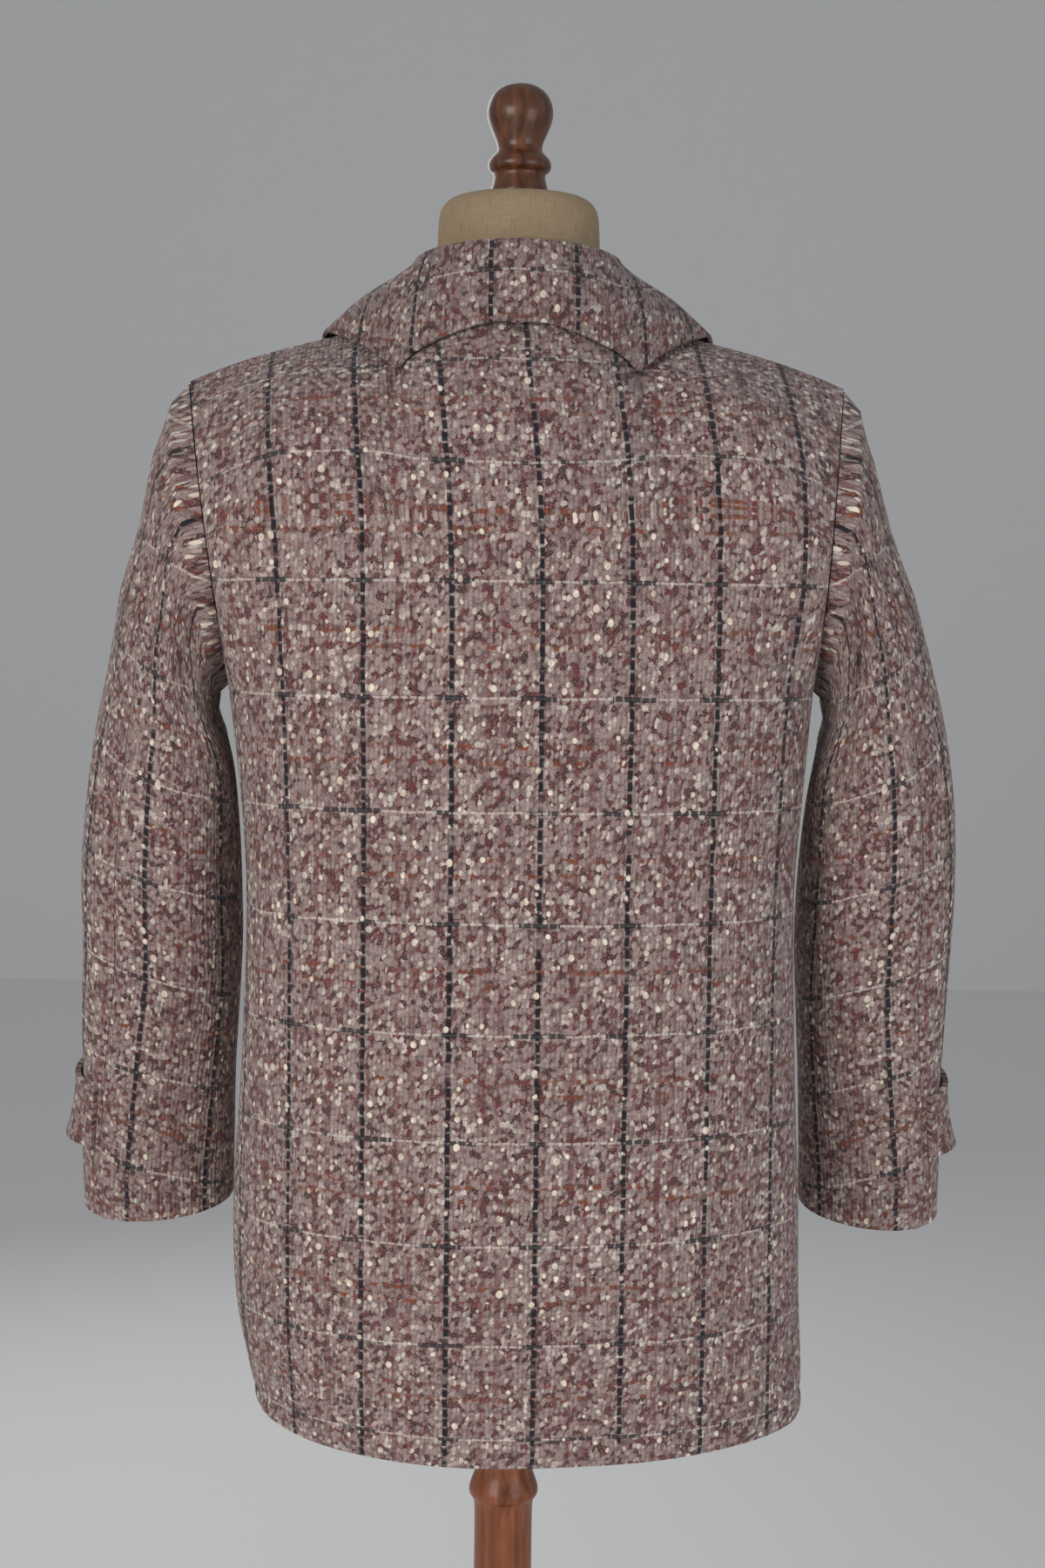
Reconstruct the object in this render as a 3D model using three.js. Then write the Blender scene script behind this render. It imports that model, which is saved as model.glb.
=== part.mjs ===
// Car coat in chunky checked tweed, worn by a limbless tailor's form on a turned wooden stand.
// Millimetres, +Z up. The floor is z = 0 and the origin is the middle of the base's underside.
// The front of the coat faces -Y, its back +Y, and the wearer's left is +X.
import * as THREE from 'three';
import { mergeVertices } from 'three/addons/utils/BufferGeometryUtils.js';

// ---------- driving dimensions ----------
const CLOTH = 2.8;            // thickness of one layer of the tweed
const GAP = 0.3;              // space between two pieces that are sewn or rest together
const HEM = 671;              // height of the hem at the side seams
const HEM_DROP = 5;           // how much lower the hem hangs at centre back and front
const UNDERARM = 1215;        // height of the bottom of the armholes
const SHOULDER_TIP = { x: 242, y: -4, z: 1438 };     // outer end of the shoulder seam
const NECK_SIDE = { x: 78, y: -6, z: 1487 };         // inner end of the shoulder seam
const NECKLINE = { deep: 80, backDrop: 4, frontDrop: 57 };
const SEAM_CROWN = 7;         // rise of the shoulder seam above a straight line
const NECK_ANGLE = 36;        // body angle, in degrees, that the neckline takes on each side
const OVERLAP = 6;            // body angle by which each front passes the centre line
const FOLD = { back: 76, side: 75, front: 84, backZ: 1531, sideZ: 1527, frontZ: 1462 };
const STAND_PITCH = { neckRadius: 61, neckTop: 1572, neckRound: 15 };
const TORSO_BOTTOM = 775;
const BUTTON = { radius: 12, thick: 4, heights: [1335, 1218, 1101, 984], seats: [1.3, 0.5, 0.75, 0.5] };
const TAB = { top: 10.86, bottom: 11.72, front: -42, thick: 4.4, flare: 8 };
const BASE = { radius: 205, height: 34 };

// The coat's outer outline below the armholes, a row for each height. left and right are the
// half widths on the wearer's two sides, back and front the depths, square the superellipse power.
const SECTIONS = [
  { z: 666, left: 185, right: 224, back: 119, front: 127, square: 2.0 },
  { z: 705, left: 194, right: 224, back: 123, front: 128, square: 2.0 },
  { z: 760, left: 204, right: 221, back: 126, front: 129, square: 2.1 },
  { z: 835, left: 206, right: 219, back: 127, front: 129, square: 2.1 },
  { z: 940, left: 200, right: 214, back: 125, front: 127, square: 2.2 },
  { z: 1065, left: 197, right: 211, back: 120, front: 124, square: 2.3 },
  { z: 1145, left: 202, right: 216, back: 123, front: 126, square: 2.4 },
  { z: UNDERARM, left: 210, right: 221, back: 127, front: 128, square: 2.5 },
];

// How the cloth leaves the underarm level and arrives at the shoulder, by body angle from
// centre back. swell0 and swell1 push it outwards at the two ends, rise1 is how steeply it ends.
const UPPER_BACK = [
  { angle: 0, swell0: 0, swell1: 285, rise1: 330, side1: 0 },
  { angle: 20, swell0: 0, swell1: 350, rise1: 300, side1: 0 },
  { angle: 36, swell0: 10, swell1: 455, rise1: 235, side1: 0 },
  { angle: 60, swell0: 50, swell1: 535, rise1: 190, side1: 0 },
  { angle: 78, swell0: 220, swell1: 390, rise1: 190, side1: 30 },
  { angle: 90, swell0: 330, swell1: 306, rise1: 200, side1: 56 },
];
const UPPER_FRONT = [
  { angle: 90, swell0: 300, swell1: 280, rise1: 200, side1: 56 },
  { angle: 102, swell0: 200, swell1: 350, rise1: 190, side1: 30 },
  { angle: 120, swell0: 50, swell1: 470, rise1: 190, side1: 0 },
  { angle: 144, swell0: 0, swell1: 420, rise1: 220, side1: 0 },
  { angle: 160, swell0: 0, swell1: 265, rise1: 240, side1: 0 },
  { angle: 180, swell0: 0, swell1: 152, rise1: 250, side1: 0 },
];

// Sleeve rings from the armhole to the cuff. top and bottom are heights of the ring's outer and
// inner edge, out and in their distances from the middle on each side, mid the ring's centre in
// Y, deep its half depth, lean the tilt in degrees that lowers its back.
const RINGS = [
  { top: 1422, bottom: 1208, outL: 257, outR: 255, inL: 216, inR: 228, mid: 0, deep: 77, lean: 0 },
  { top: 1388, bottom: 1198, outL: 268, outR: 264, inL: 218, inR: 230, mid: -2, deep: 74, lean: 0 },
  { top: 1337, bottom: 1186, outL: 280, outR: 280, inL: 217, inR: 230, mid: -3, deep: 70, lean: 1 },
  { top: 1286, bottom: 1172, outL: 291, outR: 296, inL: 213, inR: 228, mid: -5, deep: 66, lean: 3 },
  { top: 1234, bottom: 1155, outL: 300, outR: 311, inL: 209, inR: 225, mid: -9, deep: 62, lean: 5 },
  { top: 1182, bottom: 1132, outL: 312, outR: 325, inL: 207, inR: 222, mid: -16, deep: 58, lean: 8 },
  { top: 1130, bottom: 1098, outL: 322, outR: 335, inL: 206, inR: 220, mid: -27, deep: 55, lean: 11 },
  { top: 1074, bottom: 1058, outL: 329, outR: 340, inL: 206, inR: 219, mid: -39, deep: 52, lean: 13 },
  { top: 1018, bottom: 1012, outL: 331, outR: 341, inL: 207, inR: 220, mid: -52, deep: 50, lean: 15 },
  { top: 961, bottom: 961, outL: 335, outR: 341, inL: 211, inR: 224, mid: -66, deep: 48, lean: 16 },
  { top: 903, bottom: 906, outL: 336, outR: 341, inL: 216, inR: 229, mid: -80, deep: 46, lean: 17 },
  { top: 845, bottom: 851, outL: 338, outR: 343, inL: 219, inR: 233, mid: -93, deep: 45, lean: 17 },
  { top: 800, bottom: 808, outL: 338, outR: 344, inL: 221, inR: 235, mid: -103, deep: 44, lean: 17 },
];
const CUFF = RINGS.length;
const ARMHOLE_SHARE = [1, 0.6, 0.2];    // how much of the armhole's own outline each ring keeps

// The linen torso inside the coat, by height, and how far out its shoulders reach.
const TORSO = [
  { z: TORSO_BOTTOM, wide: 150, back: 96, front: 96 },
  { z: 860, wide: 168, back: 108, front: 104 },
  { z: 950, wide: 165, back: 104, front: 103 },
  { z: 1060, wide: 150, back: 92, front: 98 },
  { z: 1140, wide: 162, back: 97, front: 104 },
  { z: UNDERARM, wide: 174, back: 103, front: 106 },
];
const TORSO_REACH = 0.72;     // share of the coat's shoulder seam that the form's shoulder fills
const TORSO_SWELL = 0.78;     // how full the form is against the coat, between chest and shoulder

// Free edge of the collar's fall in plan, by angle round the neck, with its height above the coat.
const FALL = [
  { angle: 0, x: 0, y: 93, lift: 9 },
  { angle: 30, x: 52, y: 86, lift: 8 },
  { angle: 60, x: 101, y: 56, lift: 6 },
  { angle: 90, x: 143, y: -8, lift: 4.2 },
  { angle: 120, x: 142, y: -56, lift: 6 },
  { angle: 150, x: 118, y: -92, lift: 12 },
  { angle: 176, x: 78, y: -112, lift: 16 },
];

const vec = (x, y, z) => new THREE.Vector3(x, y, z);
const rad = THREE.MathUtils.degToRad;
const smooth = THREE.MathUtils.smoothstep;
const power = (value, exponent) => Math.sign(value) * Math.pow(Math.abs(value), exponent);

// Smooth reading of one column of a table, whose rows are in order of the key column.
function read(table, key, at, column) {
  const last = table.length - 1;
  let i = 0;
  while (i < last - 1 && table[i + 1][key] < at) i += 1;
  const span = table[i + 1][key] - table[i][key];
  const f = THREE.MathUtils.clamp((at - table[i][key]) / span, 0, 1);
  const before = table[Math.max(i - 1, 0)];
  const after = table[Math.min(i + 2, last)];
  const slopeIn = (table[i + 1][column] - before[column]) / (table[i + 1][key] - before[key]) * span;
  const slopeOut = (after[column] - table[i][column]) / (after[key] - table[i][key]) * span;
  return ease(table[i][column], slopeIn, table[i + 1][column], slopeOut, f);
}

// Cubic from a to b that leaves with slope ta and arrives with slope tb.
function ease(a, ta, b, tb, f) {
  const g = 1 - f;
  return g * g * (1 + 2 * f) * a + g * g * f * ta + f * f * (3 - 2 * f) * b - f * f * g * tb;
}

function easePoint(a, ta, b, tb, f) {
  return vec(ease(a.x, ta.x, b.x, tb.x, f), ease(a.y, ta.y, b.y, tb.y, f), ease(a.z, ta.z, b.z, tb.z, f));
}

// ---------- surfaces ----------
// Neckline seam of the coat, by angle round the neck from centre back.
function neckline(angle) {
  const c = Math.cos(rad(angle));
  const drop = c > 0 ? NECKLINE.backDrop : NECKLINE.frontDrop;
  return vec(NECK_SIDE.x * Math.sin(rad(angle)), NECK_SIDE.y + NECKLINE.deep * c, NECK_SIDE.z - drop * c * c);
}

// Shoulder seam from the neck (0) to the armhole (1), on the side of the sign.
function shoulderSeam(share, side) {
  const point = vec(NECK_SIDE.x, NECK_SIDE.y, NECK_SIDE.z).lerp(
    vec(SHOULDER_TIP.x, SHOULDER_TIP.y, SHOULDER_TIP.z), share);
  point.z += SEAM_CROWN * share * Math.sin(Math.PI * share);
  point.x *= side;
  return point;
}

// Outer surface of the coat below the armholes. angle runs round the body from centre back,
// through the wearer's left side at 90, to centre front at 180.
function bodyPoint(angle, z) {
  const s = Math.sin(rad(angle));
  const c = Math.cos(rad(angle));
  const exponent = 2 / read(SECTIONS, 'z', z, 'square');
  const half = read(SECTIONS, 'z', z, s >= 0 ? 'left' : 'right');
  const deep = read(SECTIONS, 'z', z, c >= 0 ? 'back' : 'front');
  const hem = HEM_DROP * c * c * (1 - smooth(z, HEM, HEM + 200));
  return vec(half * power(s, exponent), deep * power(c, exponent), z - hem);
}

// Top end of the column at a body angle: on the neckline or on the shoulder seam.
function topPoint(angle, reach = 1) {
  const turn = Math.abs(angle);
  const side = Math.sign(angle) || 1;
  if (turn <= NECK_ANGLE) return neckline(angle / NECK_ANGLE * 90);
  if (turn >= 180 - NECK_ANGLE) return neckline(side * (180 - (180 - turn) / NECK_ANGLE * 90));
  const fromNeck = turn <= 90 ? turn - NECK_ANGLE : 180 - NECK_ANGLE - turn;
  return shoulderSeam(reach * fromNeck / (90 - NECK_ANGLE), side);
}

// Outer surface of the coat above the armholes' bottom, w from 0 there to 1 at the top edge.
function upperPoint(angle, w, inFront, fullness = 1, base = bodyPoint(angle, UNDERARM), top = topPoint(angle)) {
  const table = inFront ? UPPER_FRONT : UPPER_BACK;
  const turn = Math.min(Math.abs(angle), 360 - Math.abs(angle));
  const way = inFront ? -1 : 1;
  const value = (column) => read(table, 'angle', turn, column) * fullness;
  const start = vec(0, way * value('swell0'), 250 * fullness - 0.2 * value('swell0'));
  const end = vec(Math.sign(angle) * value('side1'), -way * value('swell1'), value('rise1'));
  return easePoint(base, start, top, end, w);
}

// One column of the coat, v from 0 at the hem over 1 at the underarm to 2 at the top edge.
function coatPoint(angle, v, inFront = Math.abs(angle) > 90) {
  return v <= 1 ? bodyPoint(angle, HEM + (UNDERARM - HEM) * v) : upperPoint(angle, v - 1, inFront);
}

// Armhole edge of the body by angle round the sleeve: 0 shoulder, 90 back, 180 underarm, 270 front.
function armhole(turn, side) {
  const t = ((turn % 360) + 360) % 360;
  return t <= 180 ? upperPoint(side * 90, 1 - t / 180, false) : upperPoint(side * 90, (t - 180) / 180, true);
}

// One ring of the sleeve table as a function of the angle round the sleeve.
function ringPoint(row, turn, side) {
  const last = RINGS.length - 1;
  const at = THREE.MathUtils.clamp(row, 0, last);
  const i = Math.min(Math.floor(at), last - 1);
  const f = at - i;
  const pick = (column) => {
    const [a, b] = [RINGS[i][column], RINGS[i + 1][column]];
    const before = RINGS[Math.max(i - 1, 0)][column];
    const after = RINGS[Math.min(i + 2, last)][column];
    return ease(a, (b - before) / 2, b, (after - a) / 2, f);
  };
  const outer = vec(pick(side > 0 ? 'outL' : 'outR'), 0, pick('top'));
  const inner = vec(pick(side > 0 ? 'inL' : 'inR'), 0, pick('bottom'));
  const lean = rad(pick('lean'));
  const across = outer.clone().sub(inner).multiplyScalar(0.5);
  const deep = vec(0, Math.cos(lean), -Math.sin(lean)).multiplyScalar(pick('deep'));
  const round = 2 / 2.2;
  const point = inner.add(across).addScaledVector(across, power(Math.cos(rad(turn)), round));
  point.addScaledVector(deep, power(Math.sin(rad(turn)), round));
  point.y += pick('mid');
  point.x *= side;
  return point;
}

// Sleeve surface: row 0 is the seam at the armhole, row CUFF the cuff edge.
function sleevePoint(turn, row, side) {
  const seam = armhole(turn, side);
  const middle = vec(side * 224, 0, 1322);
  const out = vec(side * GAP * 1.2, 0, 0).addScaledVector(middle.sub(seam).normalize(), GAP);
  seam.add(out);
  if (row <= 1) return seam.lerp(blendedRing(turn, 1, side), row);
  return blendedRing(turn, row, side);
}

function blendedRing(turn, row, side) {
  const ring = ringPoint(row - 1, turn, side);
  const i = Math.min(Math.floor(row), ARMHOLE_SHARE.length - 1);
  const next = Math.min(i + 1, ARMHOLE_SHARE.length - 1);
  const tail = row < ARMHOLE_SHARE.length ? 1 : Math.max(0, ARMHOLE_SHARE.length + 1 - row);
  const share = THREE.MathUtils.lerp(ARMHOLE_SHARE[i], ARMHOLE_SHARE[next], row - i > 1 ? 1 : row - i) * tail;
  if (share <= 0) return ring;
  const centre = ringPoint(row - 1, 0, side).add(ringPoint(row - 1, 180, side)).multiplyScalar(0.5);
  const hole = armhole(0, side).add(armhole(180, side)).multiplyScalar(0.5);
  const moved = armhole(turn, side).sub(hole);
  const scale = ringPoint(row - 1, 0, side).distanceTo(centre) / armhole(0, side).distanceTo(hole);
  return ring.lerp(moved.multiplyScalar(scale).add(centre), share);
}

// ---------- making solids ----------
const material = (name, color, roughness, metalness = 0) =>
  Object.assign(new THREE.MeshStandardMaterial({ color, roughness, metalness }), { name });
const tweed = material('tweed', 0x8f7a72, 0.95);
const linen = material('linen', 0xb89f83, 0.9);
const wood = material('varnished_wood', 0x7a3a20, 0.3);
const horn = material('button', 0x3b2a22, 0.4);
const group = new THREE.Group();

function volumeOf(positions) {
  let volume = 0;
  for (let i = 0; i < positions.length; i += 9) {
    const [a, b, c] = [0, 3, 6].map((k) => vec(...positions.slice(i + k, i + k + 3)));
    volume += a.dot(b.cross(c)) / 6;
  }
  return volume;
}

// Turns a list of triangles into a named mesh with merged corners and its faces pointing out.
function addSolid(name, triangles, look) {
  const whole = triangles.filter(([a, b, c]) => {
    const area = b.clone().sub(a).cross(c.clone().sub(a)).length();
    return area > 1e-4;
  });
  const flat = whole.flatMap((triangle) => triangle.flatMap((p) => [p.x, p.y, p.z]));
  const positions = volumeOf(flat) < 0
    ? whole.flatMap(([a, b, c]) => [a, c, b].flatMap((p) => [p.x, p.y, p.z]))
    : flat;
  const geometry = new THREE.BufferGeometry();
  geometry.setAttribute('position', new THREE.Float32BufferAttribute(positions, 3));
  const mesh = new THREE.Mesh(mergeVertices(geometry, 1e-3), look);
  mesh.geometry.computeVertexNormals();
  mesh.name = name;
  group.add(mesh);
}

function quads(rows) {
  const triangles = [];
  for (let j = 0; j + 1 < rows.length; j += 1) {
    for (let i = 0; i + 1 < rows[j].length; i += 1) {
      const [a, b, c, d] = [rows[j][i], rows[j][i + 1], rows[j + 1][i + 1], rows[j + 1][i]];
      triangles.push([a, b, c], [a, c, d]);
    }
  }
  return triangles;
}

// A wall of cloth: the outer face is a grid of point(u, v), the inner face lies a layer behind.
// inward(u, v) may replace the direction in which the thickness goes.
function panel(name, point, us, vs, options = {}) {
  const { thick = CLOTH, inward, look = tweed, flip = 1 } = options;
  const step = 1e-3;
  const [u0, u1, v0, v1] = [us[0], us[us.length - 1], vs[0], vs[vs.length - 1]];
  const behind = (u, v) => {
    const given = inward && inward(u, v);
    if (given) return given;
    const [ua, ub] = [Math.max(Math.min(u0, u1), u - step), Math.min(Math.max(u0, u1), u + step)];
    const [va, vb] = [Math.max(v0, v - step), Math.min(v1, v + step)];
    const du = point(ub, v).sub(point(ua, v));
    const dv = point(u, vb).sub(point(u, va));
    return du.cross(dv).normalize().multiplyScalar(flip);
  };
  const outer = vs.map((v) => us.map((u) => point(u, v)));
  const inner = vs.map((v, j) => us.map((u, i) => outer[j][i].clone().addScaledVector(behind(u, v), thick)));
  const last = vs.length - 1;
  const ends = [
    [inner[0], outer[0]],
    [outer[last], inner[last]],
    [outer.map((row) => row[0]), inner.map((row) => row[0])],
    [inner.map((row) => row[row.length - 1]), outer.map((row) => row[row.length - 1])],
  ];
  const triangles = [...quads(outer), ...quads([...inner].reverse())];
  ends.forEach((pair) => triangles.push(...quads(pair)));
  addSolid(name, triangles, look);
}

const steps = (from, to, count) => Array.from({ length: count + 1 }, (_, i) => from + (to - from) * i / count);

// ---------- body panels ----------
const LOWER_ROWS = [0, 0.06, 0.17, 0.3, 0.45, 0.6, 0.73, 0.86];
const UPPER_ROWS = [1, 1.12, 1.26, 1.4, 1.55, 1.7, 1.84, 1.93];
const EDGE_V = 0.0004;        // trims a panel by half a seam gap at its top edge
const EDGE_ANGLE = 0.045;     // and at its side seams
const bodyRows = [...LOWER_ROWS, ...UPPER_ROWS, 2 - EDGE_V];
const halfBack = [0, 9, 18, 27, 36, 45, 54, 63, 72, 81, 90 - EDGE_ANGLE];
const backAngles = [...halfBack.slice(1).reverse().map((a) => -a), ...halfBack];
// At the shoulder seam both panels take their thickness straight down, so their ends meet flat.
const downAtShoulder = (angle, v) => {
  const turn = Math.abs(angle);
  const onSeam = v > 2 - 2 * EDGE_V && turn >= NECK_ANGLE && turn <= 180 - NECK_ANGLE;
  return onSeam ? vec(0, 0, -1) : null;
};
panel('back', (angle, v) => coatPoint(angle, v, false), backAngles, bodyRows, { inward: downAtShoulder });

const frontAngles = [90 + EDGE_ANGLE, 99, 108, 117, 126, 135, 144, 151, 158, 166, 174, 180, 180 + OVERLAP];
panel('front_left', (angle, v) => coatPoint(angle, v, true), frontAngles, bodyRows, { inward: downAtShoulder });

// The right front passes under the left one, so it sinks by a layer before it gets there.
function rightFront(angle, v) {
  const point = coatPoint(angle, v, true);
  const sink = (CLOTH + GAP + 0.2) * smooth(-angle, 180 - 4 * OVERLAP, 180 - 1.6 * OVERLAP);
  point.y += sink;
  point.z -= sink * smooth(v, 1.4, 2);
  return point;
}
const rightAngles = [90 + EDGE_ANGLE, 99, 108, 117, 126, 135, 144, 150, 156, 161, 166, 171, 180, 180 + OVERLAP];
panel('front_right', rightFront, rightAngles.map((a) => -a), bodyRows,
  { inward: downAtShoulder });

// ---------- collar ----------
// Height of the coat's outer surface above a point in plan, from triangles of its upper part.
const upperGrid = [];
for (const side of [-1, 1]) {
  for (const inFront of [false, true]) {
    const [from, to] = inFront ? [90, 180] : [0, 90];
    const rows = steps(1.2, 2, 16).map((v) => steps(from, to, 30).map((a) => coatPoint(side * a, v, inFront)));
    upperGrid.push(...quads(rows));
  }
}
function coatHeight(x, y) {
  let height = -Infinity;
  for (const [a, b, c] of upperGrid) {
    const area = (b.x - a.x) * (c.y - a.y) - (c.x - a.x) * (b.y - a.y);
    if (Math.abs(area) < 1e-9) continue;
    const s = ((b.x - x) * (c.y - y) - (c.x - x) * (b.y - y)) / area;
    const t = ((c.x - x) * (a.y - y) - (a.x - x) * (c.y - y)) / area;
    if (s >= 0 && t >= 0 && s + t <= 1) height = Math.max(height, s * a.z + t * b.z + (1 - s - t) * c.z);
  }
  return height;
}

// Section of the collar at an angle round the neck: up the stand on its neck side, over the
// fold, and down the fall to its free edge.
function collarSection(angle) {
  const turn = Math.abs(angle);
  const side = Math.sign(angle) || 1;
  const c = Math.cos(rad(turn));
  const seam = neckline(side * turn);
  const out = vec(Math.sin(rad(angle)), c, 0);
  const depth = c > 0 ? FOLD.back : FOLD.front;
  const top = c > 0 ? FOLD.backZ : FOLD.frontZ;
  const fold = vec(FOLD.side * Math.sin(rad(angle)), depth * c - 2 * (1 - c * c), FOLD.sideZ + (top - FOLD.sideZ) * c * c);
  const x = read(FALL, 'angle', turn, 'x');
  const y = read(FALL, 'angle', turn, 'y');
  const edge = vec(side * x, y, coatHeight(side * x, y) + read(FALL, 'angle', turn, 'lift') + CLOTH);
  const foot = seam.clone().addScaledVector(out, -CLOTH).add(vec(0, 0, GAP + 0.6));
  const inner = fold.clone().addScaledVector(out, -4.5).add(vec(0, 0, -6));
  const outer = fold.clone().addScaledVector(out, 5).add(vec(0, 0, -6));
  const bow = outer.clone().lerp(edge, 0.5).add(vec(0, 0, 3)).addScaledVector(out, 2);
  bow.z = Math.max(bow.z, coatHeight(bow.x, bow.y) + read(FALL, 'angle', turn, 'lift') + CLOTH + 2);
  return new THREE.CatmullRomCurve3([foot, foot.clone().lerp(inner, 0.55), inner, fold, outer, bow, edge],
    false, 'centripetal');
}
const collarAngles = [...steps(-176, -96, 8), ...steps(-84, 84, 14), ...steps(96, 176, 8)];
const collarCache = new Map();
const collarCurve = (angle) => {
  const key = angle.toFixed(6);
  if (!collarCache.has(key)) collarCache.set(key, collarSection(angle));
  return collarCache.get(key);
};
const collarRows = [0, 0.18, 0.34, 0.42, 0.5, 0.58, 0.66, 0.78, 0.9, 1];
panel('collar', (angle, s) => collarCurve(angle).getPoint(s), collarAngles, collarRows, { flip: -1 });

// ---------- sleeves ----------
const backSeam = (row) => 64 - 19 * smooth(row, 9, CUFF);
const FRONT_SEAM = 245;
const SEAM_TRIM = 0.25;       // degrees of the sleeve's turn left open at each side of a seam
const sleeveRows = [0, 0.5, ...steps(1, CUFF, CUFF - 1)];
for (const [hand, side] of [['left', 1], ['right', -1]]) {
  const between = (from, to) => (share, row) => {
    const turn = from(row) + (to(row) - from(row)) * share;
    return sleevePoint(turn, row, side);
  };
  const toMiddle = (from, to) => (share, row) => {
    if (row > 0) return null;
    const turn = from(row) + (to(row) - from(row)) * share;
    return vec(side * 224, 0, 1322).sub(sleevePoint(turn, 0, side)).normalize();
  };
  const topFrom = () => FRONT_SEAM - 360 + SEAM_TRIM;
  const topTo = (row) => backSeam(row) - SEAM_TRIM;
  const underFrom = (row) => backSeam(row) + SEAM_TRIM;
  const underTo = () => FRONT_SEAM - SEAM_TRIM;
  panel(`sleeve_upper_${hand}`, between(topFrom, topTo), steps(0, 1, 10), sleeveRows,
    { flip: side, inward: toMiddle(topFrom, topTo) });
  panel(`sleeve_under_${hand}`, between(underFrom, underTo), steps(0, 1, 10), sleeveRows,
    { flip: side, inward: toMiddle(underFrom, underTo) });

  // Strap at the cuff, let into the back seam. Its lower edge stands away from the sleeve.
  const strap = (share, fall) => {
    const row = TAB.top + (TAB.bottom - TAB.top) * fall;
    const turn = backSeam(row) - 3 + (TAB.front - backSeam(row) + 3) * share;
    const surface = sleevePoint(turn, row, side);
    const centre = sleevePoint(turn + 180, row, side).add(surface).multiplyScalar(0.5);
    const out = surface.clone().sub(centre).setZ(0).normalize();
    const flare = TAB.flare * fall * fall * Math.sin(Math.PI * Math.min(1, share * 1.15));
    return surface.addScaledVector(out, GAP + 0.5 + TAB.thick + Math.max(0, flare));
  };
  panel(`cuff_tab_${hand}`, strap, steps(0, 1, 8), steps(0, 1, 3), { thick: TAB.thick, flip: -side });
}

// ---------- buttons ----------
// A turned button with a raised rim, its back flat.
function addButton(name, place, facing, radius, thick) {
  const profile = [
    [0, 0], [radius * 0.8, 0], [radius, thick * 0.35], [radius, thick * 0.75],
    [radius * 0.9, thick], [radius * 0.72, thick], [radius * 0.62, thick * 0.7], [0, thick * 0.7],
  ].map(([x, y]) => new THREE.Vector2(x, y));
  const mesh = new THREE.Mesh(new THREE.LatheGeometry(profile, 20), horn);
  mesh.name = name;
  mesh.position.copy(place);
  mesh.quaternion.setFromUnitVectors(vec(0, 1, 0), facing);
  group.add(mesh);
}
BUTTON.heights.forEach((height, i) => {
  const low = height <= UNDERARM;
  const v = low ? (height - HEM) / (UNDERARM - HEM) : 1 + (height - UNDERARM) / (1430 - UNDERARM);
  const surface = coatPoint(180, v, true);
  const facing = coatPoint(170, v, true).sub(coatPoint(190, v, true))
    .cross(coatPoint(180, v + 0.02, true).sub(coatPoint(180, v - 0.02, true))).normalize();
  if (facing.y > 0) facing.negate();
  addButton(`front_button_${i + 1}`, surface.addScaledVector(facing, BUTTON.seats[i]), facing, BUTTON.radius, BUTTON.thick);
});

// ---------- tailor's form ----------
function torsoPoint(angle, z) {
  const s = Math.sin(rad(angle));
  const c = Math.cos(rad(angle));
  const exponent = 2 / 2.3;
  const deep = read(TORSO, 'z', z, c >= 0 ? 'back' : 'front');
  return vec(read(TORSO, 'z', z, 'wide') * power(s, exponent), deep * power(c, exponent), z);
}

function torsoTop(angle) {
  const turn = Math.abs(angle);
  const onNeck = turn <= NECK_ANGLE || turn >= 180 - NECK_ANGLE;
  const point = topPoint(angle, TORSO_REACH);
  const lower = onNeck ? 6 : 0;
  const slope = CLOTH / Math.cos(Math.atan2(NECK_SIDE.z - SHOULDER_TIP.z, SHOULDER_TIP.x - NECK_SIDE.x));
  if (onNeck) {
    const share = turn <= NECK_ANGLE ? turn / NECK_ANGLE : (180 - turn) / NECK_ANGLE;
    point.multiply(vec(0.93, 0.9, 1));
    point.z -= lower * (1 - share);
  }
  point.z -= slope + GAP + 0.15;
  return point;
}

const torsoAngles = (from, to) => steps(from, to, 20);
function torsoRing(w) {
  const ring = (from, to, inFront) => torsoAngles(from, to).map((a) => {
    const angle = a > 180 ? a - 360 : a;
    return upperPoint(angle, w, inFront, TORSO_SWELL, torsoPoint(angle, UNDERARM), torsoTop(angle));
  });
  const back = ring(-90, 90, false);
  const front = ring(90, 270, true);
  return [...back, ...front, back[0]];
}
const torsoRows = TORSO.slice(0, -1).map(({ z }) => {
  const back = torsoAngles(-90, 90).map((a) => torsoPoint(a, z));
  const front = torsoAngles(90, 270).map((a) => torsoPoint(a, z));
  front[0] = back[back.length - 1].clone();
  front[front.length - 1] = back[0].clone();
  return [...back, ...front, back[0]];
});
steps(0, 1, 10).forEach((w) => torsoRows.push(torsoRing(w)));
const neckRing = torsoAngles(-90, 90).filter((a) => Math.abs(a) <= NECK_ANGLE).map((a) => torsoTop(a));
const neckFront = torsoAngles(90, 270).filter((a) => Math.abs(a - 180) <= NECK_ANGLE)
  .map((a) => torsoTop(a > 180 ? a - 360 : a));
const neckLoop = [...neckRing.slice(0, -1), ...neckFront.slice(0, -1)];
neckLoop.push(neckLoop[0]);
const { neckRadius, neckTop, neckRound } = STAND_PITCH;
const neckAt = (radius, z) => neckLoop.map((p) => {
  const turn = Math.atan2(p.x, p.y - NECK_SIDE.y);
  return vec(radius * Math.sin(turn), radius * Math.cos(turn), z);
});
const neckRows = [neckLoop, neckAt(neckRadius + 1, 1508), neckAt(neckRadius, 1535), neckAt(neckRadius - 0.6, neckTop - neckRound)];
for (const bend of [30, 60, 90]) {
  const inset = neckRound * (1 - Math.cos(rad(bend)));
  neckRows.push(neckAt(neckRadius - 0.6 - inset, neckTop - neckRound * (1 - Math.sin(rad(bend)))));
}
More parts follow.
